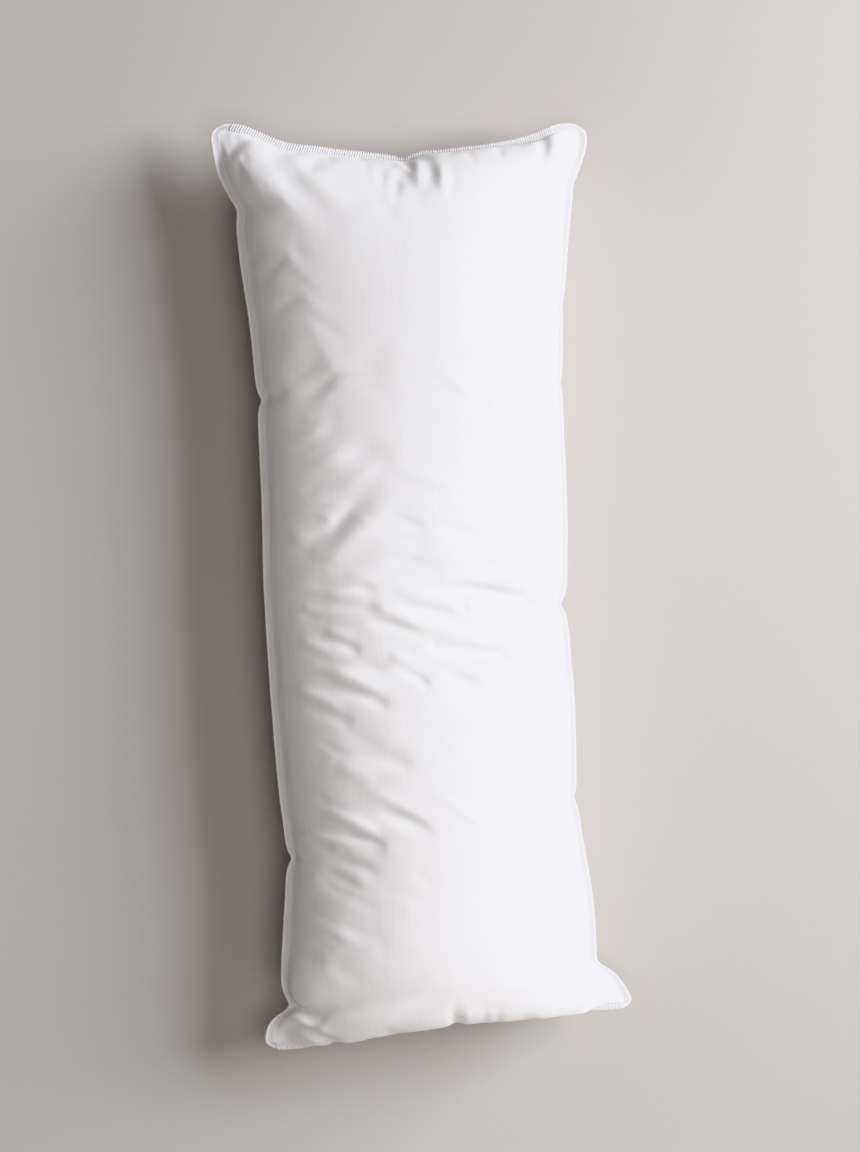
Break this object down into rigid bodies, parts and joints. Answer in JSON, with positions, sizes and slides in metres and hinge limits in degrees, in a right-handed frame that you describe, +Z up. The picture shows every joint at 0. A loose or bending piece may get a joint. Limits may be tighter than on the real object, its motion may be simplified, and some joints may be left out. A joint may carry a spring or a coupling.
{
  "type": "body pillow",
  "caption": "Long white cotton body pillow, filled plump, with a stitched flange round its seam and pointed corner ears, lying on its back.",
  "frame": {"origin": "On the ground under the middle of the pillow's overall box, where the flat of its back rests", "axes": "+X to the right side of the face, +Y along the pillow to its head end, +Z up out of the face"},
  "size_m": [0.503, 1.1908, 0.192],
  "materials": {
    "cotton": "bleached plain-weave cotton, matt"
  },
  "bodies": {
    "root": {"pillow": "cotton"}
  },
  "joints": []
}
